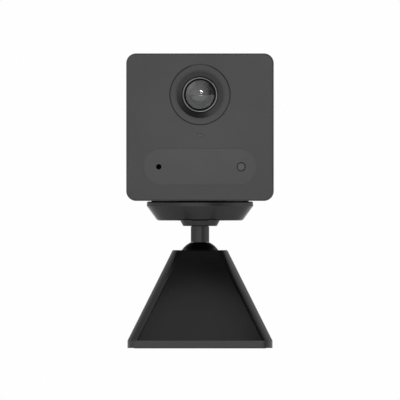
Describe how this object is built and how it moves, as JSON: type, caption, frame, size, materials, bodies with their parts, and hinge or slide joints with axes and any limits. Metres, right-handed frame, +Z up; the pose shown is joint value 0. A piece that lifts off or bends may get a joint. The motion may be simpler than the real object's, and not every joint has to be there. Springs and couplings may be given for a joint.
{
  "type": "security camera",
  "caption": "Small cube-shaped wireless security camera with a round lens, a lower infrared window and a ball joint on a weighted pyramid stand.",
  "frame": {"origin": "centre of the stand's underside, on the surface that it rests on", "axes": "+Z up through the ball and the stem; the lens looks along -Y; +X is to the right when the front is seen"},
  "size_m": [0.054, 0.0543, 0.108],
  "materials": {
    "shell_plastic": "fine matte texture",
    "stand_plastic": "fine matte texture",
    "bezel_plastic": "fine matte texture, finely turned",
    "hood_plastic": "matte",
    "window_plastic": "satin, dark, lets infrared light through",
    "inner_plastic": "matte black moulding",
    "acetal": "smooth natural acetal",
    "ball_black": "satin black",
    "stem_metal": "satin dark anodised",
    "lens_metal": "satin black anodised",
    "trim_chrome": "polished",
    "steel": "zinc plated",
    "magnet_nickel": "nickel plated",
    "brass": "turned",
    "rubber": "matte",
    "foam": "open-cell foam",
    "lens_glass": "polished, coated",
    "filter_blue": "polished, blue coating",
    "filter_clear": "polished",
    "circuit_board": "green solder mask",
    "chip_black": "moulded black package",
    "tin_plate": "tinned",
    "battery_foil": "laminated foil pouch",
    "wire": "soft insulation",
    "flex_film": "amber polyimide film",
    "light_pipe": "frosted translucent",
    "motion_window": "smoked, frosted",
    "lamp_epoxy": "clear epoxy lamp",
    "switch_body": "moulded",
    "paper_cone": "pressed film cone"
  },
  "bodies": {
    "stand": {"pyramid_shell": "stand_plastic", "socket_plug": "acetal", "disc_springs": "steel", "foot_pad": "rubber", "base_plate": "steel", "base_magnet": "magnet_nickel", "ballast_plate": "steel", "base_screws": "steel"},
    "ball_cup": {"ball_cup": "acetal"},
    "ball": {"ball": "ball_black"},
    "head": {"stem": "stem_metal", "stem_screw": "steel", "collar_nut": "stem_metal", "mount_plate": "stem_metal", "plate_pad": "rubber", "housing": "shell_plastic", "thread_insert": "brass", "front_panel": "shell_plastic", "infrared_window": "window_plastic", "lens_bezel": "bezel_plastic", "lens_hood": "hood_plastic", "lens_barrel": "lens_metal", "lens_trim_ring": "trim_chrome", "front_lens": "lens_glass", "inner_lenses": "lens_glass", "lens_holder": "inner_plastic", "sensor_shroud": "inner_plastic", "filter_coil": "inner_plastic", "image_sensor": "chip_black", "sensor_board": "circuit_board", "sensor_flex": "flex_film", "inner_frame": "inner_plastic", "battery_pouch": "battery_foil", "battery_lead": "wire", "front_board": "circuit_board", "front_lamps": "lamp_epoxy", "status_light_pipe": "light_pipe", "motion_lens": "motion_window", "motion_sensor": "tin_plate", "microphone": "tin_plate", "main_board": "circuit_board", "shield_cans": "tin_plate", "usb_socket": "tin_plate", "card_socket": "tin_plate", "key_switches": "switch_body", "rear_cover": "shell_plastic", "rear_cover_screws": "steel", "speaker_frame": "tin_plate", "speaker_cone": "paper_cone", "sound_gaskets": "foam", "button_board": "circuit_board", "flap_pin": "steel", "board_screws": "steel"},
    "power_button": {"power_button": "shell_plastic"},
    "reset_plunger": {"reset_plunger": "acetal"},
    "port_flap": {"port_flap": "rubber"},
    "filter_carrier": {"filter_carrier": "acetal", "infrared_cut_glass": "filter_blue", "clear_glass": "filter_clear"},
    "filter_rotor": {"filter_rotor": "magnet_nickel"}
  },
  "joints": [
    {"name": "ball_pan", "type": "hinge", "parent": "stand", "child": "ball_cup", "pos_m": [0, 0, 0.0316], "axis": [0, 0, 1], "continuous": true},
    {"name": "ball_tilt", "type": "hinge", "parent": "ball_cup", "child": "ball", "pos_m": [0, 0, 0.0316], "axis": [1, 0, 0], "range_deg": [-30, 30]},
    {"name": "ball_twist", "type": "hinge", "parent": "ball", "child": "head", "pos_m": [0, 0, 0.0316], "axis": [0, 0, 1], "continuous": true},
    {"name": "power_button_press", "type": "slide", "parent": "head", "child": "power_button", "axis": [0, -1, 0], "range_m": [0, 0.0005], "stiffness_N_per_m": 1200, "springref_m": -0.0005},
    {"name": "reset_press", "type": "slide", "parent": "head", "child": "reset_plunger", "axis": [0, -1, 0], "range_m": [0, 0.0003], "stiffness_N_per_m": 1200, "springref_m": -0.0005},
    {"name": "port_flap_open", "type": "hinge", "parent": "head", "child": "port_flap", "pos_m": [-0.0005, 0.0261, 0.05985], "axis": [-1, 0, 0], "range_deg": [0, 95]},
    {"name": "filter_rotor_turn", "type": "hinge", "parent": "head", "child": "filter_rotor", "pos_m": [0, -0.006, 0.0775], "axis": [0, -1, 0], "range_deg": [0, 45.69]},
    {"name": "filter_shift", "type": "slide", "parent": "head", "child": "filter_carrier", "axis": [-1, 0, 0], "range_m": [0, 0.0066]}
  ],
  "couplings": [
    {"joint": "filter_rotor_turn", "follows": "filter_shift", "rad_per_m": 120.82}
  ]
}
